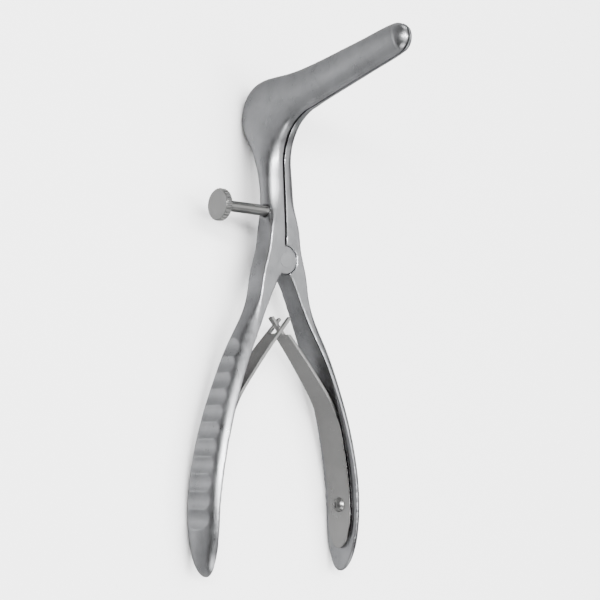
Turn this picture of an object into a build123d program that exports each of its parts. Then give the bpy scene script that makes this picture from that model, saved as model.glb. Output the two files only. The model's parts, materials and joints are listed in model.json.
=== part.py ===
"""Self-retaining nasal speculum, lying on the backs of its handles and its heel.

X is the way the blades open, with the left arm at minus X. Y runs along the instrument from the
handle ends to the blades, and Z goes up from the table to the blade tips. The construction has its
origin on the pivot axis, half-way through the joint, and the last step lays the piece down.
"""
import os
from math import atan2, degrees, sqrt

from build123d import *

# General fits
overrun = 20.0
parting_gap = 0.4
parting_trim = 0.6
seat_gap = 0.03

# Lap joint
joint_depth = 6.6
disc_radius = 3.9
disc_clearance = 0.12
disc_sink = 0.02
lap_clearance = 0.12
pin_radius = 1.5
pin_clearance = 0.05

# Side view of the neck, heel and blade: the corners of its front and back outlines
neck_straight = 9.0
front_corner_y = 37.3
front_corner_z = 1.4
front_bend_radius = 13.0
front_end_y = 48.6
front_end_z = 46.3
back_corner_y = 26.0
back_corner_z = -5.9
back_bend_radius = 14.0
heel_corner_y = 50.4
heel_corner_z = -20.6
heel_radius = 9.3
blade_corner_y = 50.4
blade_corner_z = 8.0
blade_sweep_radius = 138.0
back_end_y = 56.8
back_end_z = 44.7
tip_length = 5.2

# Half-round sections of one arm, from its flat inner face outwards
joint_breadth = 6.6
neck_breadth = 5.1
blade_breadth = 2.9
trough_wall = 0.9

# Handle: reach from the pivot, and the inner face's distance from the mid-plane
handle_reach = 84.3
handle_half_gap = 23.8
handle_toe_in = 0.6
grip_depth = 13.0
grip_thickness = 3.5

# Grip scallops, and how far the ridges between them are ground below the outer crest
scallop_pitch = 4.6
scallop_drop = 0.5
scallop_ground = 0.4
scallop_count = 11
scallop_start_y = -24.5

# Set screw
screw_y = 13.3
screw_radius = 1.5
screw_clearance = 0.08
screw_sink = 0.35
shank_shown = 14.3
screw_neck_radius = 1.2
screw_neck_length = 0.6
knob_radius = 4.35
knob_thickness = 2.0
knob_chamfer = 0.35
rib_count = 28
rib_depth = 0.32
rib_gap_radius = 0.4
screw_point = 0.4

# Leaf springs
leaf_thickness = 0.9
leaf_root_depth = 8.8
leaf_tip_depth = 5.0
leaf_cross_y = -18.2
leaf_tip_reach = 2.4
leaf_tip_y = -15.5
leaf_end_margin = 6.3
leaf_screw_margin = 12.0
leaf_seat_length = 33.0
leaf_root_y = leaf_end_margin - handle_reach
leaf_seat_end_y = leaf_root_y + leaf_seat_length
leaf_seat_steps = 9
leaf_root_rounding = 9.0
fork_slot = 3.0
fork_length = 4.4
tongue_depth = 1.8
tongue_length = 4.6

# Leaf screws
leaf_screw_y = leaf_root_y + leaf_screw_margin
leaf_screw_radius = 1.0
leaf_screw_clearance = 0.05
leaf_screw_bite = 2.0
dome_radius = 2.1
dome_height = 1.4
slot_length = 6.0
slot_width = 0.5
slot_drop = 0.5

# Shares of the front and back outlines that each section joins, from the joint to the blade, its
# breadth as a share of the joint's, neck's or blade's, and the rounded crown's share of its breadth
joint_crown_share = 0.06
joint_section_shares = ((0.044, 0.033, 0.86, 0.06), (0.10, 0.075, 0.79, 0.10))
neck_section_shares = (
    (0.152, 0.113, 0.97, 0.34),
    (0.203, 0.150, 0.95, 0.72),
    (0.278, 0.207, 0.95, 0.85),
    (0.348, 0.280, 0.93, 0.74),
    (0.400, 0.330, 0.92, 0.64),
    (0.440, 0.386, 0.90, 0.58),
    (0.490, 0.466, 0.84, 0.58),
    (0.543, 0.532, 0.77, 0.62),
    (0.575, 0.620, 0.70, 0.68),
    (0.625, 0.720, 0.62, 0.74),
)
blade_section_shares = (
    (0.788, 0.840, 1.0, 0.80),
    (0.905, 0.926, 0.95, 0.82),
    (1.0, 1.0, 0.88, 0.84),
)
tip_shares = (0.42, 0.70, 0.88, 0.97, 0.997)

# Trough sections on the same outlines, with the rim's width as a share of the wall and the depth as
# a share of what the wall leaves of the blade's breadth
trough_crown_share = 0.9
trough_shares = (
    (0.310, 0.245, 2.6, 0.2),
    (0.370, 0.300, 1.6, 0.55),
    (0.440, 0.386, 1.5, 1.0),
    (0.490, 0.466, 1.5, 1.1),
    (0.543, 0.532, 1.4, 1.1),
    (0.625, 0.720, 1.2, 1.05),
    (0.788, 0.840, 1.0, 1.0),
    (0.905, 0.926, 1.0, 0.9),
    (0.970, 0.975, 1.2, 0.75),
    (1.0, 1.0, 1.5, 0.2),
)

# Handle sections: way along the reach, inner face as a share of the spread, breadth as a share of
# the grip's thickness, depth as a share of the grip's depth, and the rounded crown's share
handle_shares = (
    (0.055, 0.083, 1.67, 0.508, 0.06),
    (0.105, 0.180, 1.23, 0.508, 0.12),
    (0.160, 0.270, 1.17, 0.52, 0.42),
    (0.220, 0.375, 1.29, 0.59, 0.80),
    (0.290, 0.508, 1.27, 0.71, 0.93),
    (0.385, 0.656, 1.15, 0.83, 0.93),
    (0.500, 0.804, 1.06, 0.925, 0.93),
    (0.615, 0.912, 1.00, 0.985, 0.93),
    (0.720, 0.977, 0.96, 1.0, 0.93),
    (0.800, 0.998, 0.92, 0.975, 0.93),
)
handle_end_shares = (0.38, 0.66, 0.85, 0.95, 0.992)
leaf_free_shares = ((0.660, 0.439), (0.479, 0.372), (0.310, 0.314), (0.146, 0.261))


def side_guide(corners, radii):
    """Outline in the side view through corners given along the instrument and up."""
    with BuildLine(Plane.YZ) as guide:
        FilletPolyline(*corners, radius=radii)
    return guide.wires()[0]


front_guide = side_guide(
    [
        (0, joint_depth / 2),
        (neck_straight, joint_depth / 2),
        (front_corner_y, front_corner_z),
        (front_end_y, front_end_z),
    ],
    [front_bend_radius, front_bend_radius],
)
back_guide = side_guide(
    [
        (0, -joint_depth / 2),
        (neck_straight, -joint_depth / 2),
        (back_corner_y, back_corner_z),
        (heel_corner_y, heel_corner_z),
        (blade_corner_y, blade_corner_z),
        (back_end_y, back_end_z),
    ],
    [back_bend_radius, back_bend_radius, heel_radius, blade_sweep_radius],
)


def chord_plane(front_share, back_share):
    """Plane through X and the chord between the two outlines, and half the chord."""
    front = front_guide @ front_share
    back = back_guide @ back_share
    across = Vector(1, 0, 0)
    plane = Plane((front + back) / 2, x_dir=across, z_dir=across.cross(front - back))
    return plane, (front - back).length / 2


def plan_plane(y):
    """Plane across the instrument at a place along it."""
    return Plane((0, y, 0), x_dir=(1, 0, 0), z_dir=(0, -1, 0))


def rounded(share):
    """Height of a quarter circle at a share of its radius."""
    return sqrt(1 - share**2)


def arm_section(plane, inner, outer, half_depth, crown_share):
    """Flat inner face, two flat edges and a half-ellipse on the outside."""
    crown = (outer - max(inner, 0)) * crown_share
    with BuildSketch(plane) as section:
        with BuildLine():
            Line((outer - crown, -half_depth), (inner, -half_depth))
            Line((inner, -half_depth), (inner, half_depth))
            Line((inner, half_depth), (outer - crown, half_depth))
            EllipticalCenterArc(
                (outer - crown, 0), crown, half_depth, start_angle=-90, arc_size=180
            )
        make_face()
    return section.sketch


def upper_places():
    """Plane, half depth, breadth and crown of each section above the joint."""
    rows = [(joint_breadth, row) for row in joint_section_shares]
    rows += [(neck_breadth, row) for row in neck_section_shares]
    rows += [(blade_breadth, row) for row in blade_section_shares]
    places = []
    for breadth, (front_share, back_share, breadth_share, crown_share) in rows:
        plane, half_depth = chord_plane(front_share, back_share)
        places.append((plane, half_depth, breadth * breadth_share, crown_share))
    return places


def tip_sections():
    """Sections that close the blade with a round tip, from its end inwards."""
    plane, half_depth, breadth, crown_share = upper_places()[-1]
    sections = []
    for share in reversed(tip_shares):
        scale = rounded(share)
        sections.append(
            arm_section(
                plane.offset(-share * tip_length),
                -parting_trim,
                breadth * scale,
                half_depth * scale,
                crown_share,
            )
        )
    return sections


def handle_sections():
    """Sections from below the joint to the rounded end of the handle."""
    sections = []
    for along, inner, breadth, depth, crown_share in handle_shares:
        inner_x = inner * handle_half_gap
        outer_x = inner_x + breadth * grip_thickness
        sections.append(
            arm_section(
                plan_plane(-along * handle_reach), inner_x, outer_x, depth * grip_depth / 2, crown_share
            )
        )
    along, inner, breadth, depth, crown_share = handle_shares[-1]
    for share in handle_end_shares:
        inner_x = inner * handle_half_gap - handle_toe_in * share**2
        outer_x = inner_x + breadth * grip_thickness * rounded(share**2)
        end_y = -(along + share * (1 - along)) * handle_reach
        half_depth = depth * grip_depth / 2 * rounded(share)
        sections.append(arm_section(plan_plane(end_y), inner_x, outer_x, half_depth, crown_share))
    return sections


def handle_guide(breadth_weight):
    """Plan curve down the handle: its inner face at weight 0, its outer crest at weight 1."""
    points = [
        (inner * handle_half_gap + breadth_weight * breadth * grip_thickness, -along * handle_reach)
        for along, inner, breadth, depth, crown_share in handle_shares
    ]
    last_x, last_y = points[-1]
    points += [
        (last_x - handle_toe_in * share**2, last_y - share * (handle_reach + last_y))
        for share in handle_end_shares
    ]
    with BuildLine() as guide:
        Spline(*points)
    return guide.edges()[0]


inner_guide = handle_guide(0)
outer_guide = handle_guide(1)


def share_at(guide, y):
    """Share of a handle curve's length at which it passes a place along the instrument."""
    low, high = 0.0, 1.0
    for halving in range(30):
        middle = (low + high) / 2
        if (guide @ middle).Y > y:
            low = middle
        else:
            high = middle
    return (low + high) / 2


def inward(guide, share):
    """Direction from a handle curve towards the other handle."""
    along = guide % share
    return Vector(along.Y, -along.X, 0)


# Forged blank of the right arm: blade, heel, neck, joint block and handle in one loft, trimmed to the
# flat parting face, then the finger scallops down the back of the grip
sections = tip_sections()
for plane, half_depth, breadth, crown_share in reversed(upper_places()):
    sections.append(arm_section(plane, -parting_trim, breadth, half_depth, crown_share))
sections.append(
    arm_section(plan_plane(0), -parting_trim, joint_breadth, joint_depth / 2, joint_crown_share)
)
sections.extend(handle_sections())

scallop_radius = (scallop_pitch**2 / 4 + scallop_drop**2) / (2 * scallop_drop)
scallop_spots = []
for index in range(scallop_count):
    share = share_at(outer_guide, scallop_start_y) + index * scallop_pitch / outer_guide.length
    out = -inward(outer_guide, share)
    scallop_spots.append(
        outer_guide @ share + out * (scallop_radius - scallop_drop - scallop_ground)
    )

with BuildPart() as blank:
    loft(sections)
    split(bisect_by=Plane.YZ.offset(parting_gap / 2), keep=Keep.TOP)
    with Locations(*scallop_spots):
        Cylinder(scallop_radius, grip_depth + overrun, mode=Mode.SUBTRACT)

# Trough down the inside of a blade, cut from the parting face and shallow at both ends
trough_sections = []
for front_share, back_share, rim_share, depth_share in trough_shares:
    plane, half_depth = chord_plane(front_share, back_share)
    depth = depth_share * (blade_breadth - trough_wall)
    trough_sections.append(
        arm_section(
            plane, -parting_trim, depth, half_depth - rim_share * trough_wall, trough_crown_share
        )
    )
with BuildPart() as trough:
    loft(trough_sections)


def lap_disc(side):
    """Disc of one arm in its own half of the joint's depth."""
    with BuildPart() as disc:
        with BuildSketch(Plane.XY.offset(side * lap_clearance / 2)):
            Circle(disc_radius)
        extrude(amount=side * (joint_depth / 2 - lap_clearance / 2 - disc_sink))
    return disc.part


def lap_recess(side):
    """Room for the other arm's disc, and for the clearance between the two discs."""
    with BuildPart() as recess:
        with BuildSketch(Plane.XY.offset(side * lap_clearance / 2)):
            Circle(disc_radius + disc_clearance)
        extrude(amount=-side * overrun)
    return recess.part


# Seats of the leaf springs and their screws on the right handle's inner face
leaf_offset = seat_gap + leaf_thickness / 2
leaf_screw_share = share_at(inner_guide, leaf_screw_y)
leaf_screw_seat = inner_guide @ leaf_screw_share
leaf_screw_plane = Plane(leaf_screw_seat, x_dir=(0, 0, 1), z_dir=inward(inner_guide, leaf_screw_share))

with BuildPart() as leaf_screw_hole:
    with BuildSketch(leaf_screw_plane.offset(-leaf_screw_bite - leaf_screw_clearance)):
        Circle(leaf_screw_radius + leaf_screw_clearance)
    extrude(amount=overrun)


def finished_arm(side):
    """Right-hand arm with its disc in one half of the joint, its trough and its holes."""
    with BuildPart() as arm:
        add(blank.part)
        add(trough.part, mode=Mode.SUBTRACT)
        add(lap_recess(side), mode=Mode.SUBTRACT)
        add(lap_disc(side))
        add(leaf_screw_hole.part, mode=Mode.SUBTRACT)
        with BuildSketch(Plane.XY.offset(-overrun)) as pin_hole:
            Circle(pin_radius + pin_clearance)
        extrude(pin_hole.sketch, amount=2 * overrun, mode=Mode.SUBTRACT)
    return arm.part


# Left arm, with the set screw's plain hole and its countersink on the outside
neck_side_x = -neck_breadth * neck_section_shares[0][2]
with BuildPart() as left_arm:
    add(finished_arm(1).mirror(Plane.YZ))
    with BuildSketch(Plane.YZ.offset(-overrun)):
        with Locations((screw_y, 0)):
            Circle(screw_radius + screw_clearance)
    extrude(amount=2 * overrun, mode=Mode.SUBTRACT)
    with BuildSketch(Plane.YZ.offset(neck_side_x + screw_sink)):
        with Locations((screw_y, 0)):
            Circle(screw_radius + screw_clearance)
    with BuildSketch(Plane.YZ.offset(neck_side_x - screw_sink)):
        with Locations((screw_y, 0)):
            Circle(screw_radius + screw_clearance + 2 * screw_sink)
    loft(mode=Mode.SUBTRACT)

with BuildPart() as right_arm:
    add(finished_arm(-1))

with BuildPart() as pivot_pin:
    with BuildSketch(Plane.XY.offset(-joint_depth / 2)):
        Circle(pin_radius)
    extrude(amount=joint_depth)

# Set screw through the left neck, turned in one piece, with its tip at the parting face
knob_x = neck_side_x - shank_shown
with BuildPart() as thumb_screw:
    with BuildSketch(Plane.XY) as turned:
        with BuildLine():
            Polyline(
                (knob_x - knob_thickness, screw_y),
                (knob_x - knob_thickness, screw_y + knob_radius - knob_chamfer),
                (knob_x - knob_thickness + knob_chamfer, screw_y + knob_radius),
                (knob_x - knob_chamfer, screw_y + knob_radius),
                (knob_x, screw_y + knob_radius - knob_chamfer),
                (knob_x, screw_y + screw_neck_radius),
                (knob_x + screw_neck_length, screw_y + screw_neck_radius),
                (knob_x + screw_neck_length, screw_y + screw_radius),
                (-parting_gap / 2 - screw_point, screw_y + screw_radius),
                (-parting_gap / 2, screw_y + screw_radius - screw_point),
                (-parting_gap / 2, screw_y),
                close=True,
            )
        make_face()
    revolve(axis=Axis((0, screw_y, 0), (1, 0, 0)))
    with BuildSketch(Plane.YZ.offset(knob_x - knob_thickness - knob_chamfer)):
        with Locations((screw_y, 0)):
            with PolarLocations(knob_radius + rib_gap_radius - rib_depth, rib_count):
                Circle(rib_gap_radius)
    extrude(amount=knob_thickness + 2 * knob_chamfer, mode=Mode.SUBTRACT)


def leaf_blank():
    """Strip of the right leaf: seated on the handle, then curving to the middle of the instrument."""
    seated = []
    for step in range(leaf_seat_steps + 1):
        y = leaf_root_y + (leaf_seat_end_y - leaf_root_y) * step / leaf_seat_steps
        share = share_at(inner_guide, y)
        seated.append(inner_guide @ share + inward(inner_guide, share) * leaf_offset)
    free = [(x * handle_half_gap, -y * handle_reach) for x, y in leaf_free_shares]
    with BuildPart() as strip:
        with BuildSketch():
            with BuildLine():
                Spline(*seated, *free, (0, leaf_cross_y), (-leaf_tip_reach, leaf_tip_y))
            trace(line_width=leaf_thickness)
        extrude(amount=leaf_root_depth / 2, both=True)
        with BuildSketch(Plane.YZ) as outline:
            with BuildLine():
                Polyline(
                    (leaf_root_y + leaf_root_rounding, leaf_root_depth / 2),
                    (leaf_seat_end_y, leaf_root_depth / 2),
                    (leaf_tip_y + leaf_thickness, leaf_tip_depth / 2),
                    (leaf_tip_y + leaf_thickness, -leaf_tip_depth / 2),
                    (leaf_seat_end_y, -leaf_root_depth / 2),
                    (leaf_root_y + leaf_root_rounding, -leaf_root_depth / 2),
                )
                EllipticalCenterArc(
                    (leaf_root_y + leaf_root_rounding, 0),
                    leaf_root_rounding,
                    leaf_root_depth / 2,
                    start_angle=90,
                    arc_size=180,
                )
            make_face()
        extrude(amount=handle_half_gap + overrun, both=True, mode=Mode.INTERSECT)
        add(leaf_screw_hole.part, mode=Mode.SUBTRACT)
    return strip.part


leaf = leaf_blank()

with BuildPart() as left_spring:
    add(leaf.mirror(Plane.YZ))
    with BuildSketch(Plane.YZ.offset(-handle_half_gap)):
        with Locations((leaf_tip_y, 0)):
            Rectangle(2 * fork_length, fork_slot)
    extrude(amount=2 * handle_half_gap, mode=Mode.SUBTRACT)

with BuildPart() as right_spring:
    add(leaf)
    with BuildSketch(Plane.YZ.offset(-handle_half_gap)):
        with Locations((leaf_tip_y, 0)):
            Rectangle(2 * tongue_length, leaf_root_depth)
            Rectangle(2 * tongue_length, tongue_depth, mode=Mode.SUBTRACT)
    extrude(amount=2 * handle_half_gap, mode=Mode.SUBTRACT)


# Domed screw through the right leaf into the handle, turned about the seat's normal, with its slot
head_start = leaf_thickness + 2 * seat_gap
dome_sphere_radius = (dome_radius**2 + dome_height**2) / (2 * dome_height)
screw_section_plane = Plane(leaf_screw_seat, x_dir=leaf_screw_plane.z_dir, z_dir=(0, 0, 1))
with BuildPart() as right_spring_screw:
    with BuildSketch(screw_section_plane):
        with BuildLine():
            Polyline(
                (head_start + dome_height, 0),
                (-leaf_screw_bite, 0),
                (-leaf_screw_bite, leaf_screw_radius),
                (head_start, leaf_screw_radius),
                (head_start, dome_radius),
            )
            RadiusArc((head_start, dome_radius), (head_start + dome_height, 0), dome_sphere_radius)
        make_face()
    revolve(axis=Axis(leaf_screw_seat, leaf_screw_plane.z_dir))
    with BuildSketch(leaf_screw_plane.offset(head_start + dome_height - slot_drop)):
        Rectangle(slot_width, slot_length)
    extrude(amount=overrun, mode=Mode.SUBTRACT)

with BuildPart() as left_spring_screw:
    add(right_spring_screw.part.mirror(Plane.YZ))

# Laying down: the instrument leans until its heel and the backs of its handles touch the table
heel_centre = back_guide.edges().filter_by(GeomType.CIRCLE).sort_by(SortBy.RADIUS)[0].arc_center
deepest_along = max(handle_shares, key=lambda row: row[3])[0]
lean = degrees(
    atan2(
        heel_radius - heel_centre.Z - grip_depth / 2, heel_centre.Y + deepest_along * handle_reach
    )
)
pieces = {
    "left_arm": left_arm,
    "right_arm": right_arm,
    "pivot_pin": pivot_pin,
    "thumb_screw": thumb_screw,
    "left_spring": left_spring,
    "right_spring": right_spring,
    "left_spring_screw": left_spring_screw,
    "right_spring_screw": right_spring_screw,
}
leaning = Location((0, 0, 0), (lean, 0, 0))
extent = Compound(children=[piece.part.moved(leaning) for piece in pieces.values()]).bounding_box()
centre = extent.center()
resting = Location((-centre.X, -centre.Y, -extent.min.Z)) * leaning

os.makedirs("parts", exist_ok=True)
for name, piece in pieces.items():
    laid = piece.part.moved(resting)
    laid.label = name
    export_step(laid, f"parts/{name}.step")

# Places that the joints use, in the laid frame
pivot_axis = resting * Plane.XY.location
screw_axis = resting * Location((0, screw_y, 0))
print("pivot", pivot_axis.position, "direction", Plane(pivot_axis).z_dir)
print("screw", screw_axis.position)
print("lean", lean, "extent", extent.size)
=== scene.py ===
"""Looks of a self-retaining nasal speculum in satin stainless steel, lying on a pale table.

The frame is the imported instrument, in metres, lying on the backs of its handles and its heel. Each
operator makes one piece or group of like pieces. The stage operator adds table, lights and camera.
"""
import json
import math

import bpy
from mathutils import Matrix, Vector

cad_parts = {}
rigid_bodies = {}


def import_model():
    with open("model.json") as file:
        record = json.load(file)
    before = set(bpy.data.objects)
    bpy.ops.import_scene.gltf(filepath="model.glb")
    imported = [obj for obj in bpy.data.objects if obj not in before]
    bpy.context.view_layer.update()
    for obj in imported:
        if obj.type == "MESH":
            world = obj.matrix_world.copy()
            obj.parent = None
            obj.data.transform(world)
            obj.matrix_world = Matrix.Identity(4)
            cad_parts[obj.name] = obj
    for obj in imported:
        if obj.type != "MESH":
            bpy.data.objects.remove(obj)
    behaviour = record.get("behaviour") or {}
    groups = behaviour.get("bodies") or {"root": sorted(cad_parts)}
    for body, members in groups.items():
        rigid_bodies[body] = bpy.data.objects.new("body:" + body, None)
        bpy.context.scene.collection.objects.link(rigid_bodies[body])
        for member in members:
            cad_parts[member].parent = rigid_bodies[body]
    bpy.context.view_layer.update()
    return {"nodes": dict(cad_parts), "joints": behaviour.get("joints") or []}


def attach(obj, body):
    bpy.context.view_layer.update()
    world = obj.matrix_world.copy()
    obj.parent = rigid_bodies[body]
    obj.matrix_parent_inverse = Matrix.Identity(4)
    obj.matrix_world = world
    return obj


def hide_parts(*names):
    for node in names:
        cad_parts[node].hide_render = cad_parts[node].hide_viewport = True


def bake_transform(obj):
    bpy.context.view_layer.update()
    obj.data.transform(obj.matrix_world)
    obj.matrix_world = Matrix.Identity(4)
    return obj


bl_info = {
    "name": "Nasal Speculum",
    "version": (1, 0, 0),
    "blender": (4, 5, 0),
    "location": "View3D > Sidebar > Speculum",
    "description": "Finishes and stages a self-retaining nasal speculum",
    "category": "Object",
}

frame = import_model()

MM = 0.001
arm_pivot = next(joint for joint in frame["joints"] if joint["name"] == "arm_pivot")
pivot_place = Vector(arm_pivot["pos_m"])
lean = math.asin(arm_pivot["axis"][1])
leaning = Matrix.Rotation(lean, 3, "X")

# Places of the Mix node's sockets, whose names repeat from one data type to the next
FACTOR = 0
VALUE_A, VALUE_B, VALUE_RESULT = 2, 3, 0
COLOUR_A, COLOUR_B, COLOUR_RESULT = 6, 7, 2

# Places on the upright instrument, in millimetres from the pivot
BLADE_TIP = (0, 51.8, 50.0)
BLADE_RISE = (0, 1, 4.0)
SCREW_AXIS = (0, 13.3, 0)

# Length of the bead at the blade tips and of the soft step behind it, in millimetres
BEAD_LENGTH = 3.0
BEAD_STEP = 0.8

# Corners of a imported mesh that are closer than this, in metres, are one corner
SAME_CORNER = 0.000002
# Smoothing after the grid: how far a corner moves in a pass, and the passes
SMOOTHING = 0.5
ARM_PASSES, LEAF_PASSES = 4, 2
# Edges that turn by more than this stay sharp on the rivet and on the screw
RIVET_CREASE, SCREW_CREASE = math.radians(40), math.radians(35)

# Table: its side, its top just under the instrument, and the paper on it as it is seen directly and
# as the steel mirrors it
TABLE_SIZE, TABLE_TOP = 4, -0.0002
PAPER_TONE, MIRRORED_PAPER_TONE = (0.93, 0.93, 0.93, 1), (0.17, 0.17, 0.172, 1)
PAPER_ROUGHNESS, MIRRORED_PAPER_ROUGHNESS = 0.9, 0.42
MIRRORED_PAPER_METAL = 0.5
PAPER_SHINE = 0.2

# World: strength at its handle side and its heel side, where the change between them starts and stops,
# and the strength that camera rays alone see, a pale wall behind the table that lights nothing
WORLD_DIM, WORLD_BRIGHT = 0.50, 0.97
WORLD_FALL_START, WORLD_FALL_STOP = -0.55, 0.65
WALL_AS_SEEN = 45.0

# Soft lights: name, place, width and length, power in watts, and whether the steel mirrors them
LIGHTS = (
    ("softbox_right", (0.70, 0.10, 0.78), (0.9, 1.0), 3.2, True),
    ("strip_above", (-0.32, 0.10, 0.94), (0.12, 1.1), 25.0, True),
    ("strip_far", (0.15, 1.0, 0.45), (0.8, 0.12), 4.0, True),
    ("strip_near", (0.0, -0.95, 0.58), (1.5, 0.3), 7.0, True),
    ("table_light", (0.0, 0.0, 1.3), (1.6, 1.6), 62.0, False),
)
LIT_POINT = (0, 0, 0.02)

# Camera as fitted to the outline: angles round the upright instrument in degrees, distance to the
# pivot in millimetres, scale there, side of the picture and place of the pivot in it in pixels
VIEW_ANGLES = (40.917, -5.563, 0.44)
VIEW_DISTANCE = 450.6
PIXELS_PER_MM = 3.678
PICTURE_SIDE = 600
PIVOT_ACROSS, PIVOT_DOWN = 278.098, 260.914
SENSOR_WIDTH = 36
NEAREST_SEEN = 0.01


def laid(x, y, z):
    """Point in millimetres from the pivot of the upright instrument, as it lies on the table."""
    turned = leaning @ Vector((x, y, z))
    return pivot_place + turned * MM


# Settings
class SpeculumSteel(bpy.types.PropertyGroup):
    """Colours and finish of the steel."""

    arm_tone: bpy.props.FloatVectorProperty(
        name="Arm tone", description="Colour of the forged arms", subtype="COLOR", size=3,
        default=(0.445, 0.452, 0.465), min=0, max=1,
    )
    spring_tone: bpy.props.FloatVectorProperty(
        name="Spring tone", description="Colour of the leaf springs", subtype="COLOR", size=3,
        default=(0.45, 0.448, 0.44), min=0, max=1,
    )
    screw_tone: bpy.props.FloatVectorProperty(
        name="Screw tone", description="Colour of the turned screws", subtype="COLOR", size=3,
        default=(0.35, 0.35, 0.345), min=0, max=1,
    )
    satin: bpy.props.FloatProperty(
        name="Satin", description="Mean roughness of the satin finish", default=0.33, min=0, max=1,
    )


class SpeculumShape(bpy.types.PropertyGroup):
    """Sizes of the softened edges and of the detail that only the looks have."""

    edge_softness: bpy.props.FloatProperty(
        name="Edge softness", description="Size of the grid that rounds the forged edges",
        default=0.254 * MM, unit="LENGTH", min=0.1 * MM, max=1 * MM,
    )
    bead_swell: bpy.props.FloatProperty(
        name="Bead swell", description="Growth of the blade's breadth at the bead of its tip",
        default=0.17, min=0, max=0.5,
    )
    rivet_spread: bpy.props.FloatProperty(
        name="Rivet spread", description="Radius that the pivot pin is spread to at both faces",
        default=1.88 * MM, unit="LENGTH", min=1.5 * MM, max=2.5 * MM,
    )
    thread_pitch: bpy.props.FloatProperty(
        name="Thread pitch", description="Distance between the turns of the set screw's thread",
        default=0.6 * MM, unit="LENGTH", min=0.3 * MM, max=1 * MM,
    )
    thread_depth: bpy.props.FloatProperty(
        name="Thread depth", description="Depth of the set screw's thread below its crest",
        default=0.06 * MM, unit="LENGTH", min=0.02 * MM, max=0.2 * MM,
    )
    leaf_softness: bpy.props.FloatProperty(
        name="Leaf softness", description="Size of the grid that rounds the edges of the leaves",
        default=0.15 * MM, unit="LENGTH", min=0.05 * MM, max=1 * MM,
    )


# Node building
def value_socket(tree, name, direction, kind="NodeSocketFloat", default=None):
    """Named socket of a node group."""
    socket = tree.interface.new_socket(name=name, in_out=direction, socket_type=kind)
    if default is not None:
        socket.default_value = default
    return socket


def put(tree, kind, place, **settings):
    """Node of a kind at a place in the tree, with its settings."""
    node = tree.nodes.new(kind)
    node.location = place
    for name, value in settings.items():
        setattr(node, name, value)
    return node


def ranged(tree, place, start=0.0, stop=1.0, low=0.0, high=1.0):
    """Map Range node that takes start to low and stop to high."""
    node = put(tree, "ShaderNodeMapRange", place)
    node.inputs["From Min"].default_value = start
    node.inputs["From Max"].default_value = stop
    node.inputs["To Min"].default_value = low
    node.inputs["To Max"].default_value = high
    return node


def noise(tree, place, scale=1.0, detail=2.0, roughness=0.5, distortion=0.0):
    """Noise node of a scale, detail, roughness and distortion."""
    node = put(tree, "ShaderNodeTexNoise", place)
    node.inputs["Scale"].default_value = scale
    node.inputs["Detail"].default_value = detail
    node.inputs["Roughness"].default_value = roughness
    node.inputs["Distortion"].default_value = distortion
    return node


def brushed_grain_group():
    """Fine marks of the belt, long in one direction, with a height and a mask."""
    broad_share = 0.35
    tree = bpy.data.node_groups.new("Brushed grain", "ShaderNodeTree")
    value_socket(tree, "Across scale", "INPUT", default=4500.0)
    value_socket(tree, "Along scale", "INPUT", default=160.0)
    value_socket(tree, "Turn", "INPUT", "NodeSocketVector", (0.0, 0.0, 0.0))
    value_socket(tree, "Height", "OUTPUT")
    value_socket(tree, "Mask", "OUTPUT")
    ins = put(tree, "NodeGroupInput", (-900, 0))
    outs = put(tree, "NodeGroupOutput", (700, 0))
    coords = put(tree, "ShaderNodeTexCoord", (-900, 300))
    turn = put(tree, "ShaderNodeVectorRotate", (-700, 200), rotation_type="EULER_XYZ")
    scale = put(tree, "ShaderNodeCombineXYZ", (-700, -100))
    stretch = put(tree, "ShaderNodeVectorMath", (-500, 100), operation="MULTIPLY")
    fine = noise(tree, (-300, 200), scale=1.0, detail=3.0, roughness=0.65)
    broad = noise(tree, (-300, -100), scale=0.22)
    both = put(tree, "ShaderNodeMix", (0, 100), data_type="FLOAT")
    both.inputs[FACTOR].default_value = broad_share
    mask = ranged(tree, (250, -100), start=0.38, stop=0.62)
    link = tree.links.new
    link(coords.outputs["Object"], turn.inputs["Vector"])
    link(ins.outputs["Turn"], turn.inputs["Rotation"])
    link(ins.outputs["Across scale"], scale.inputs["X"])
    link(ins.outputs["Along scale"], scale.inputs["Y"])
    link(ins.outputs["Across scale"], scale.inputs["Z"])
    link(turn.outputs["Vector"], stretch.inputs[0])
    link(scale.outputs["Vector"], stretch.inputs[1])
    link(stretch.outputs["Vector"], fine.inputs["Vector"])
    link(stretch.outputs["Vector"], broad.inputs["Vector"])
    link(fine.outputs["Fac"], both.inputs[VALUE_A])
    link(broad.outputs["Fac"], both.inputs[VALUE_B])
    link(both.outputs[VALUE_RESULT], outs.inputs["Height"])
    link(both.outputs[VALUE_RESULT], mask.inputs["Value"])
    link(mask.outputs["Result"], outs.inputs["Mask"])
    return tree


def steel_mottle_group():
    """Slow changes of tone over the polished steel, as from handling and washing."""
    tree = bpy.data.node_groups.new("Steel mottle", "ShaderNodeTree")
    value_socket(tree, "Scale", "INPUT", default=150.0)
    value_socket(tree, "Mask", "OUTPUT")
    ins = put(tree, "NodeGroupInput", (-700, 0))
    outs = put(tree, "NodeGroupOutput", (500, 0))
    coords = put(tree, "ShaderNodeTexCoord", (-700, 300))
    cloud = noise(tree, (-400, 200), detail=4.0, roughness=0.55, distortion=0.4)
    spread = ranged(tree, (-100, 200), start=0.35, stop=0.65)
    link = tree.links.new
    link(coords.outputs["Object"], cloud.inputs["Vector"])
    link(ins.outputs["Scale"], cloud.inputs["Scale"])
    link(cloud.outputs["Fac"], spread.inputs["Value"])
    link(spread.outputs["Result"], outs.inputs["Mask"])
    return tree


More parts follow.
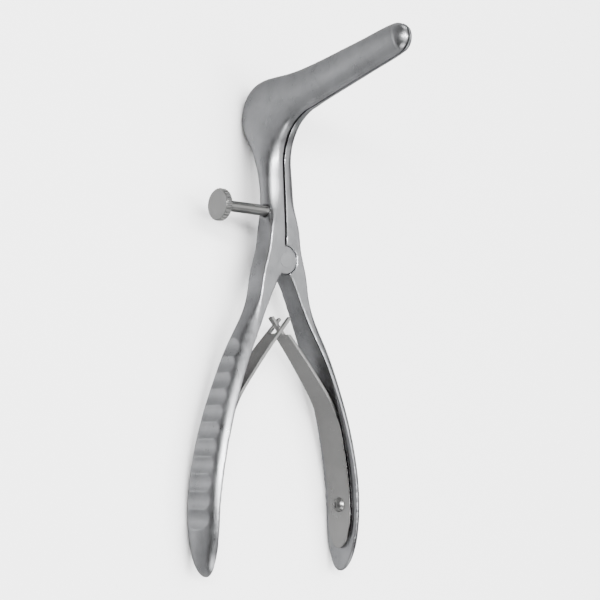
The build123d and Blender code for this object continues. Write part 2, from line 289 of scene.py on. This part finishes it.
def worn_edge_highlight_group():
    """Edges that polishing and handling have brightened, with a painted highlight along them too,
    found from how sharp the surface turns.
    """
    tree = bpy.data.node_groups.new("Worn edge and highlight", "ShaderNodeTree")
    value_socket(tree, "Start", "INPUT", default=0.54)
    value_socket(tree, "Full", "INPUT", default=0.60)
    value_socket(tree, "Mask", "OUTPUT")
    ins = put(tree, "NodeGroupInput", (-500, 0))
    outs = put(tree, "NodeGroupOutput", (300, 0))
    shape = put(tree, "ShaderNodeNewGeometry", (-500, 250))
    turn = ranged(tree, (-150, 150))
    link = tree.links.new
    link(shape.outputs["Pointiness"], turn.inputs["Value"])
    link(ins.outputs["Start"], turn.inputs["From Min"])
    link(ins.outputs["Full"], turn.inputs["From Max"])
    link(turn.outputs["Result"], outs.inputs["Mask"])
    return tree


def parting_shadow_group():
    """Painted shadow of the gap where the two arms meet: dark, dull colour beyond the joint's disc.

    The line is up to twice as fine higher on the blades, and it fades on the faces that look
    sideways, so that the inner faces of opened blades stay bright.
    """
    tree = bpy.data.node_groups.new("Parting shadow", "ShaderNodeTree")
    value_socket(tree, "Half width", "INPUT", default=0.33 * MM)
    value_socket(tree, "Fade", "INPUT", default=0.48 * MM)
    value_socket(tree, "Mask", "OUTPUT")
    ins = put(tree, "NodeGroupInput", (-700, -200))
    outs = put(tree, "NodeGroupOutput", (500, 0))
    coords = put(tree, "ShaderNodeTexCoord", (-900, 100))
    parts = put(tree, "ShaderNodeSeparateXYZ", (-700, 100))
    off = put(tree, "ShaderNodeMath", (-500, 150), operation="ABSOLUTE")
    finer = ranged(tree, (-500, 400), start=15 * MM, stop=42 * MM, low=1.0, high=2.0)
    away = put(tree, "ShaderNodeMath", (-400, 250), operation="MULTIPLY")
    near = ranged(tree, (-300, 150), low=1.0, high=0.0)
    beyond = ranged(
        tree, (-300, -150), start=pivot_place.y + 3.9 * MM, stop=pivot_place.y + 4.1 * MM
    )
    facing = put(tree, "ShaderNodeSeparateXYZ", (-700, -450))
    across = put(tree, "ShaderNodeMath", (-500, -450), operation="ABSOLUTE")
    bevel = ranged(tree, (-300, -450), start=0.95, stop=0.998, low=1.0, high=0.12)
    edge = put(tree, "ShaderNodeMath", (0, -150), operation="MULTIPLY")
    both = put(tree, "ShaderNodeMath", (200, 0), operation="MULTIPLY")
    link = tree.links.new
    link(coords.outputs["Normal"], facing.inputs["Vector"])
    link(facing.outputs["X"], across.inputs[0])
    link(across.outputs["Value"], bevel.inputs["Value"])
    link(coords.outputs["Object"], parts.inputs["Vector"])
    link(parts.outputs["X"], off.inputs[0])
    link(parts.outputs["Z"], finer.inputs["Value"])
    link(off.outputs["Value"], away.inputs[0])
    link(finer.outputs["Result"], away.inputs[1])
    link(away.outputs["Value"], near.inputs["Value"])
    link(ins.outputs["Half width"], near.inputs["From Min"])
    link(ins.outputs["Fade"], near.inputs["From Max"])
    link(parts.outputs["Y"], beyond.inputs["Value"])
    link(near.outputs["Result"], both.inputs[0])
    link(beyond.outputs["Result"], edge.inputs[0])
    link(bevel.outputs["Result"], edge.inputs[1])
    link(edge.outputs["Value"], both.inputs[1])
    link(both.outputs["Value"], outs.inputs["Mask"])
    return tree


def leaf_seat_shadow_group():
    """Painted shadow on the front edge of a leaf, along the length that lies in shade against its
    handle.
    """
    tree = bpy.data.node_groups.new("Leaf seat shadow", "ShaderNodeTree")
    value_socket(tree, "From", "INPUT", default=-20 * MM)
    value_socket(tree, "To", "INPUT", default=-27 * MM)
    value_socket(tree, "Mask", "OUTPUT")
    ins = put(tree, "NodeGroupInput", (-700, -200))
    outs = put(tree, "NodeGroupOutput", (500, 0))
    coords = put(tree, "ShaderNodeTexCoord", (-900, 100))
    parts = put(tree, "ShaderNodeSeparateXYZ", (-700, 100))
    facing = put(tree, "ShaderNodeSeparateXYZ", (-700, 300))
    front = ranged(tree, (-400, 300), start=0.75, stop=0.97)
    seat = ranged(tree, (-400, 0))
    both = put(tree, "ShaderNodeMath", (200, 0), operation="MULTIPLY")
    link = tree.links.new
    link(coords.outputs["Object"], parts.inputs["Vector"])
    link(coords.outputs["Normal"], facing.inputs["Vector"])
    link(facing.outputs["Z"], front.inputs["Value"])
    link(parts.outputs["Y"], seat.inputs["Value"])
    link(ins.outputs["From"], seat.inputs["From Min"])
    link(ins.outputs["To"], seat.inputs["From Max"])
    link(front.outputs["Result"], both.inputs[0])
    link(seat.outputs["Result"], both.inputs[1])
    link(both.outputs["Value"], outs.inputs["Mask"])
    return tree


def group(tree, shared, place, **values):
    """Copy of a shared effect in a material, with its own values."""
    node = put(tree, "ShaderNodeGroup", place, node_tree=shared)
    for name, value in values.items():
        node.inputs[name.replace("_", " ")].default_value = value
    return node


def satin_steel(
    name, tone, roughness, grain_depth, contrast, edge_wear_and_highlight,
    grain_turn=(0, 0, 0), along=160.0, across=4500.0, shadow=None,
):
    """Satin stainless steel, with tone, roughness and bump from the grain, mottle and edges.

    contrast is the depth of the mottle, the edge factor the brightness of the edges against the tone,
    from wear and from a painted highlight, and shadow the name of an effect that paints shade on a
    part of the piece.
    """
    streak_strength, streak_tone = 0.25, 0.82
    shadow_tone = (0.012, 0.012, 0.013, 1)
    smoother, rougher, mottle_roughness = 0.05, 0.06, 0.08
    bump_strength = 0.4
    light_share = 0.6
    material = bpy.data.materials.new(name)
    material.use_nodes = True
    tree = material.node_tree
    tree.nodes.clear()
    link = tree.links.new
    output = put(tree, "ShaderNodeOutputMaterial", (900, 0))
    shader = put(tree, "ShaderNodeBsdfPrincipled", (600, 0))
    shader.inputs["Metallic"].default_value = 1.0
    link(shader.outputs["BSDF"], output.inputs["Surface"])
    grain = group(
        tree, effects["grain"], (-600, -300),
        Across_scale=across, Along_scale=along, Turn=grain_turn,
    )
    mottle = group(tree, effects["mottle"], (-600, 200))
    edge = group(tree, effects["edge"], (-600, 0))

    dark = tuple(channel * (1 - contrast) for channel in tone)
    light = tuple(min(1.0, channel * (1 + contrast * light_share)) for channel in tone)
    worn_and_lit = tuple(min(1.0, channel * edge_wear_and_highlight) for channel in tone)
    clouded = put(tree, "ShaderNodeMix", (-250, 250), data_type="RGBA")
    clouded.inputs[COLOUR_A].default_value = (*dark, 1)
    clouded.inputs[COLOUR_B].default_value = (*light, 1)
    link(mottle.outputs["Mask"], clouded.inputs[FACTOR])
    streaked = put(tree, "ShaderNodeMix", (0, 250), data_type="RGBA", blend_type="MULTIPLY")
    streaked.inputs[FACTOR].default_value = streak_strength
    shade = ranged(tree, (-250, 0), low=streak_tone)
    link(grain.outputs["Mask"], shade.inputs["Value"])
    link(clouded.outputs[COLOUR_RESULT], streaked.inputs[COLOUR_A])
    link(shade.outputs["Result"], streaked.inputs[COLOUR_B])
    # Edges lightened from wear, with a painted highlight on them too
    worn_and_lit_edges = put(tree, "ShaderNodeMix", (250, 250), data_type="RGBA")
    worn_and_lit_edges.inputs[COLOUR_B].default_value = (*worn_and_lit, 1)
    link(edge.outputs["Mask"], worn_and_lit_edges.inputs[FACTOR])
    link(streaked.outputs[COLOUR_RESULT], worn_and_lit_edges.inputs[COLOUR_A])
    colour = worn_and_lit_edges.outputs[COLOUR_RESULT]
    # Painted shade, such as the shadow in the parting line or beside a seated leaf
    if shadow:
        darkened = group(tree, effects[shadow], (250, 500))
        shaded = put(tree, "ShaderNodeMix", (450, 400), data_type="RGBA")
        shaded.inputs[COLOUR_B].default_value = shadow_tone
        link(darkened.outputs["Mask"], shaded.inputs[FACTOR])
        link(colour, shaded.inputs[COLOUR_A])
        colour = shaded.outputs[COLOUR_RESULT]
    link(colour, shader.inputs["Base Color"])

    rough = ranged(tree, (0, -50), low=roughness - smoother, high=roughness + rougher)
    link(grain.outputs["Mask"], rough.inputs["Value"])
    smeared = put(tree, "ShaderNodeMath", (250, -50), operation="MULTIPLY_ADD")
    smeared.inputs[1].default_value = mottle_roughness
    link(mottle.outputs["Mask"], smeared.inputs[0])
    link(rough.outputs["Result"], smeared.inputs[2])
    link(smeared.outputs["Value"], shader.inputs["Roughness"])

    bump = put(tree, "ShaderNodeBump", (250, -350))
    bump.inputs["Strength"].default_value = bump_strength
    bump.inputs["Distance"].default_value = grain_depth
    link(grain.outputs["Height"], bump.inputs["Height"])
    link(bump.outputs["Normal"], shader.inputs["Normal"])
    return material


effects = {}


def steel(name):
    """Steel finish of a name, made once from the settings."""
    if not effects:
        effects["grain"] = brushed_grain_group()
        effects["mottle"] = steel_mottle_group()
        effects["edge"] = worn_edge_highlight_group()
        effects["parting"] = parting_shadow_group()
        effects["leaf_seat_shadow"] = leaf_seat_shadow_group()
    if name in bpy.data.materials:
        return bpy.data.materials[name]
    tones = bpy.context.scene.speculum_steel
    recipes = {
        "arm_satin": {
            "tone": tuple(tones.arm_tone), "roughness": tones.satin - 0.03,
            "grain_depth": 0.00001, "contrast": 0.13, "edge_wear_and_highlight": 1.0, "shadow": "parting",
        },
        "rivet_satin": {
            "tone": tuple(tones.arm_tone), "roughness": tones.satin,
            "grain_depth": 0.00001, "contrast": 0.1, "edge_wear_and_highlight": 1.0,
        },
        "spring_satin": {
            "tone": tuple(tones.spring_tone), "roughness": tones.satin - 0.02,
            "grain_depth": 0.000008, "contrast": 0.05, "edge_wear_and_highlight": 1.25, "shadow": "leaf_seat_shadow",
        },
        "screw_turned": {
            "tone": tuple(tones.screw_tone), "roughness": tones.satin - 0.03,
            "grain_depth": 0.000004, "contrast": 0.05, "edge_wear_and_highlight": 1.2,
            "grain_turn": (0, 0, 1.5708), "along": 400.0, "across": 2600.0,
        },
    }
    return satin_steel(name, **recipes[name])


# Working on pieces
def only(piece):
    """Selects one piece and nothing else, ready for an operator."""
    if bpy.context.object and bpy.context.object.mode != "OBJECT":
        bpy.ops.object.mode_set(mode="OBJECT")
    bpy.ops.object.select_all(action="DESELECT")
    piece.select_set(True)
    bpy.context.view_layer.objects.active = piece


def copy_of_node(node, name):
    """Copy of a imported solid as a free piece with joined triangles."""
    only(frame["nodes"][node])
    bpy.ops.object.duplicate()
    piece = bpy.context.object
    piece.name = name
    piece.data.name = name
    bpy.ops.object.parent_clear(type="CLEAR_KEEP_TRANSFORM")
    for key in [key for key in piece.keys() if key.startswith("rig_")]:
        del piece[key]
    bpy.ops.mesh.customdata_custom_splitnormals_clear()
    bpy.ops.object.mode_set(mode="EDIT")
    bpy.ops.mesh.select_all(action="SELECT")
    bpy.ops.mesh.remove_doubles(threshold=SAME_CORNER)
    bpy.ops.object.mode_set(mode="OBJECT")
    return piece


def softened(piece, grid, passes):
    """Rounds the hard edges of a piece by the size of the grid and keeps its faces smooth."""
    only(piece)
    bpy.ops.object.modifier_add(type="REMESH")
    remesh = piece.modifiers[-1]
    remesh.mode = "VOXEL"
    remesh.voxel_size = grid
    remesh.adaptivity = 0
    bpy.ops.object.modifier_apply(modifier=remesh.name)
    bpy.ops.object.modifier_add(type="SMOOTH")
    smooth = piece.modifiers[-1]
    smooth.factor = SMOOTHING
    smooth.iterations = passes
    bpy.ops.object.modifier_apply(modifier=smooth.name)
    bpy.ops.object.shade_smooth()


def beaded_tip(piece, swell):
    """Widens the last millimetres of a blade into a bead with a soft step behind it."""
    tip = laid(*BLADE_TIP)
    along = (laid(*BLADE_RISE) - laid(0, 0, 0)).normalized()
    for vertex in piece.data.vertices:
        back = (tip - vertex.co).dot(along) / MM
        if back < BEAD_LENGTH:
            step = min(1.0, (BEAD_LENGTH - back) / BEAD_STEP)
            vertex.co.x *= 1 + swell * step * step * (3 - 2 * step)


def finish_with(piece, material):
    """Gives a piece one material."""
    piece.data.materials.clear()
    piece.data.materials.append(material)


# Stage
def pale_paper():
    """Matt pale paper, which the steel mirrors darker and a little glossy."""
    paper = bpy.data.materials.new("pale_table")
    paper.use_nodes = True
    tree = paper.node_tree
    surface = tree.nodes["Principled BSDF"]
    seen_by = put(tree, "ShaderNodeLightPath", (-600, 200))
    shade = put(tree, "ShaderNodeMix", (-300, 200), data_type="RGBA")
    shade.inputs[COLOUR_A].default_value = PAPER_TONE
    shade.inputs[COLOUR_B].default_value = MIRRORED_PAPER_TONE
    gloss = put(tree, "ShaderNodeMath", (-300, 0), operation="MULTIPLY")
    gloss.inputs[1].default_value = MIRRORED_PAPER_METAL
    rough = ranged(tree, (-300, -200), low=PAPER_ROUGHNESS, high=MIRRORED_PAPER_ROUGHNESS)
    link = tree.links.new
    link(seen_by.outputs["Is Glossy Ray"], shade.inputs[FACTOR])
    link(seen_by.outputs["Is Glossy Ray"], gloss.inputs[0])
    link(seen_by.outputs["Is Glossy Ray"], rough.inputs["Value"])
    link(shade.outputs[COLOUR_RESULT], surface.inputs["Base Color"])
    link(gloss.outputs["Value"], surface.inputs["Metallic"])
    link(rough.outputs["Result"], surface.inputs["Roughness"])
    surface.inputs["Specular IOR Level"].default_value = PAPER_SHINE
    return paper


def studio_world():
    """World that is brighter towards the heel, with a pale wall that camera rays alone see."""
    world = bpy.data.worlds.new("studio")
    world.use_nodes = True
    tree = world.node_tree
    way = put(tree, "ShaderNodeTexCoord", (-900, 0))
    parts = put(tree, "ShaderNodeSeparateXYZ", (-700, 0))
    fall = ranged(
        tree, (-500, 0), start=WORLD_FALL_START, stop=WORLD_FALL_STOP,
        low=WORLD_DIM, high=WORLD_BRIGHT,
    )
    looked_at = put(tree, "ShaderNodeLightPath", (-700, 300))
    wall = put(tree, "ShaderNodeMix", (-250, 100), data_type="FLOAT")
    wall.inputs[VALUE_B].default_value = WALL_AS_SEEN
    link = tree.links.new
    link(way.outputs["Generated"], parts.inputs["Vector"])
    link(parts.outputs["Y"], fall.inputs["Value"])
    link(looked_at.outputs["Is Camera Ray"], wall.inputs[FACTOR])
    link(fall.outputs["Result"], wall.inputs[VALUE_A])
    link(wall.outputs[VALUE_RESULT], tree.nodes["Background"].inputs["Strength"])
    return world


def softbox(scene, name, place, size, power, mirrored):
    """Rectangular soft light that points at the instrument."""
    light = bpy.data.lights.new(name, "AREA")
    light.shape = "RECTANGLE"
    light.size, light.size_y = size
    light.energy = power
    lamp = bpy.data.objects.new(name, light)
    scene.collection.objects.link(lamp)
    towards = Vector(LIT_POINT) - Vector(place)
    lamp.location = place
    lamp.rotation_euler = towards.to_track_quat("-Z", "Y").to_euler()
    lamp.visible_glossy = mirrored


def fitted_camera(scene):
    """Camera at the photograph's angle, fitted round the upright instrument and laid with it."""
    azimuth, elevation, roll = (math.radians(angle) for angle in VIEW_ANGLES)
    distance, focal = VIEW_DISTANCE, PIXELS_PER_MM * VIEW_DISTANCE
    middle = PICTURE_SIDE / 2
    back = Vector(
        (
            -math.sin(azimuth) * math.cos(elevation),
            -math.cos(azimuth) * math.cos(elevation),
            math.sin(elevation),
        )
    )
    level = Vector((math.cos(azimuth), -math.sin(azimuth), 0))
    upward = back.cross(level).normalized()
    right = level * math.cos(roll) + upward * math.sin(roll)
    up = upward * math.cos(roll) - level * math.sin(roll)
    place = (
        back * distance
        + right * ((middle - PIVOT_ACROSS) / focal * distance)
        + up * ((PIVOT_DOWN - middle) / focal * distance)
    )
    stand = leaning @ Matrix.Rotation(-math.pi / 2, 3, "X")
    eye = bpy.data.cameras.new("camera")
    eye.lens = focal / PICTURE_SIDE * SENSOR_WIDTH
    eye.sensor_width = SENSOR_WIDTH
    eye.clip_start = NEAREST_SEEN
    camera = bpy.data.objects.new("camera", eye)
    scene.collection.objects.link(camera)
    turn = Matrix((right, up, back)).transposed()
    camera.matrix_world = Matrix.Translation(pivot_place + stand @ place * MM) @ (
        (stand @ turn).to_4x4()
    )
    return camera


# Operators
class MakeArms(bpy.types.Operator):
    """Makes the two forged arms with soft edges and a satin finish"""

    bl_idname = "speculum.make_arms"
    bl_label = "Forged arms"

    def execute(self, context):
        shape = context.scene.speculum_shape
        for side in ("left", "right"):
            arm = copy_of_node(f"{side}_arm", f"{side}_forging")
            softened(arm, shape.edge_softness, ARM_PASSES)
            beaded_tip(arm, shape.bead_swell)
            finish_with(arm, steel("arm_satin"))
            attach(arm, f"{side}_side")
            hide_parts(f"{side}_arm")
        return {"FINISHED"}


class MakeSprings(bpy.types.Operator):
    """Makes the two interlocked leaf springs with soft edges and a satin finish"""

    bl_idname = "speculum.make_springs"
    bl_label = "Leaf springs"

    def execute(self, context):
        shape = context.scene.speculum_shape
        for side, other, outwards in (("left", "right", -1), ("right", "left", 1)):
            leaf = copy_of_node(f"{side}_spring", f"{side}_leaf")
            softened(leaf, shape.leaf_softness, LEAF_PASSES)
            finish_with(leaf, steel("spring_satin"))
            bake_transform(leaf)
            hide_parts(f"{side}_spring")
        return {"FINISHED"}


class MakePivotRivet(bpy.types.Operator):
    """Makes the pivot pin, spread flush into both faces of the joint"""

    bl_idname = "speculum.make_pivot_rivet"
    bl_label = "Pivot rivet"

    def execute(self, context):
        spread = context.scene.speculum_shape.rivet_spread
        shank, half, flare, rim = 1.5 * MM, 3.3 * MM, 0.25 * MM, 0.5 * MM
        end_facing = 0.9
        bpy.ops.object.select_all(action="DESELECT")
        bpy.ops.mesh.primitive_cylinder_add(
            vertices=64, radius=shank, depth=2 * (half - flare), location=pivot_place,
            rotation=(lean, 0, 0),
        )
        rivet = context.object
        rivet.name = "pivot_rivet"
        for end in (1, -1):
            bpy.ops.object.mode_set(mode="EDIT")
            bpy.ops.mesh.select_all(action="DESELECT")
            bpy.ops.object.mode_set(mode="OBJECT")
            for face in rivet.data.polygons:
                face.select = face.normal.z * end > end_facing
            bpy.ops.object.mode_set(mode="EDIT")
            axis = leaning @ Vector((0, 0, end))
            bpy.ops.mesh.extrude_region_move(TRANSFORM_OT_translate={"value": axis * flare})
            bpy.ops.transform.resize(
                value=(spread / shank,) * 3, center_override=pivot_place + axis * half
            )
            bpy.ops.mesh.inset(thickness=rim, depth=0)
            bpy.ops.object.mode_set(mode="OBJECT")
        bpy.ops.object.transform_apply(location=True, rotation=True, scale=True)
        bpy.ops.object.shade_smooth_by_angle(angle=RIVET_CREASE)
        finish_with(rivet, steel("rivet_satin"))
        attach(rivet, "left_side")
        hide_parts("pivot_pin")
        return {"FINISHED"}


class MakeSetScrew(bpy.types.Operator):
    """Makes the set screw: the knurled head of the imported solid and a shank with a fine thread"""

    bl_idname = "speculum.make_set_screw"
    bl_label = "Set screw"

    def execute(self, context):
        shape = context.scene.speculum_shape
        crest, start, stop = 1.5 * MM, -18.2 * MM, -0.9 * MM
        point, point_share = -0.2 * MM, 0.7
        axis = laid(*SCREW_AXIS)
        screw = copy_of_node("thumb_screw", "set_screw")
        bpy.ops.object.mode_set(mode="EDIT")
        bpy.ops.mesh.select_all(action="SELECT")
        bpy.ops.mesh.bisect(
            plane_co=(start, axis.y, axis.z), plane_no=(1, 0, 0), use_fill=True, clear_outer=True
        )
        bpy.ops.object.mode_set(mode="OBJECT")
        bpy.ops.object.shade_smooth_by_angle(angle=SCREW_CREASE)
        bpy.ops.object.select_all(action="DESELECT")
        bpy.ops.mesh.primitive_circle_add(
            vertices=40, radius=crest, location=(start, axis.y, axis.z),
            rotation=(0, math.pi / 2, 0), fill_type="NOTHING",
        )
        bpy.ops.object.transform_apply(location=True, rotation=True, scale=True)
        bpy.ops.object.mode_set(mode="EDIT")
        bpy.ops.mesh.select_all(action="SELECT")

        def next_ring(x, length, grow):
            bpy.ops.mesh.extrude_region_move(TRANSFORM_OT_translate={"value": (length, 0, 0)})
            bpy.ops.transform.resize(
                value=(1, grow, grow), center_override=(x + length, axis.y, axis.z)
            )
            return x + length

        root = (crest - shape.thread_depth) / crest
        turns = int((stop - start) / shape.thread_pitch)
        half_turn = (stop - start) / turns / 2
        place = start
        for _ in range(turns):
            place = next_ring(place, half_turn, root)
            place = next_ring(place, half_turn, 1 / root)
        next_ring(place, point - place, point_share)
        bpy.ops.mesh.edge_face_add()
        bpy.ops.mesh.select_all(action="SELECT")
        bpy.ops.mesh.normals_make_consistent(inside=False)
        bpy.ops.object.mode_set(mode="OBJECT")
        bpy.ops.object.shade_smooth_by_angle(angle=SCREW_CREASE)
        screw.select_set(True)
        context.view_layer.objects.active = screw
        bpy.ops.object.join()
        finish_with(screw, steel("screw_turned"))
        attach(screw, "set_screw")
        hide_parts("thumb_screw")
        return {"FINISHED"}


class FinishLeafScrews(bpy.types.Operator):
    """Finishes the two domed screws that hold the leaves"""

    bl_idname = "speculum.finish_leaf_screws"
    bl_label = "Leaf screws"

    def execute(self, context):
        for side in ("left", "right"):
            finish_with(frame["nodes"][f"{side}_spring_screw"], steel("screw_turned"))
        return {"FINISHED"}


class BuildStage(bpy.types.Operator):
    """Adds the table, the soft lights and the camera"""

    bl_idname = "speculum.build_stage"
    bl_label = "Table, lights and camera"

    def execute(self, context):
        scene = context.scene
        bpy.ops.object.select_all(action="DESELECT")
        bpy.ops.mesh.primitive_plane_add(size=TABLE_SIZE, location=(0, 0, TABLE_TOP))
        table = context.object
        table.name = "table_top"
        table.data.materials.append(pale_paper())
        scene.world = studio_world()
        for light in LIGHTS:
            softbox(scene, *light)
        scene.camera = fitted_camera(scene)
        return {"FINISHED"}


class SpeculumPanel(bpy.types.Panel):
    """Lists the speculum's settings and operators"""

    bl_idname = "VIEW3D_PT_speculum"
    bl_label = "Nasal Speculum"
    bl_space_type = "VIEW_3D"
    bl_region_type = "UI"
    bl_category = "Speculum"

    def draw(self, context):
        for settings in (context.scene.speculum_steel, context.scene.speculum_shape):
            for name in settings.__annotations__:
                self.layout.prop(settings, name)
        for operator in OPERATORS:
            self.layout.operator(operator.bl_idname)


OPERATORS = (MakeArms, MakeSprings, MakePivotRivet, MakeSetScrew, FinishLeafScrews, BuildStage)
CLASSES = (SpeculumSteel, SpeculumShape, *OPERATORS, SpeculumPanel)


def register():
    """Registers the classes and puts the settings on the scene."""
    for kind in CLASSES:
        bpy.utils.register_class(kind)
    bpy.types.Scene.speculum_steel = bpy.props.PointerProperty(type=SpeculumSteel)
    bpy.types.Scene.speculum_shape = bpy.props.PointerProperty(type=SpeculumShape)


def unregister():
    """Takes the settings and the classes away again."""
    del bpy.types.Scene.speculum_shape
    del bpy.types.Scene.speculum_steel
    for kind in reversed(CLASSES):
        bpy.utils.unregister_class(kind)


def main():
    """Makes every piece and the stage."""
    register()
    bpy.ops.speculum.make_arms()
    bpy.ops.speculum.make_springs()
    bpy.ops.speculum.make_pivot_rivet()
    bpy.ops.speculum.make_set_screw()
    bpy.ops.speculum.finish_leaf_screws()
    bpy.ops.speculum.build_stage()


if __name__ == "__main__":
    main()
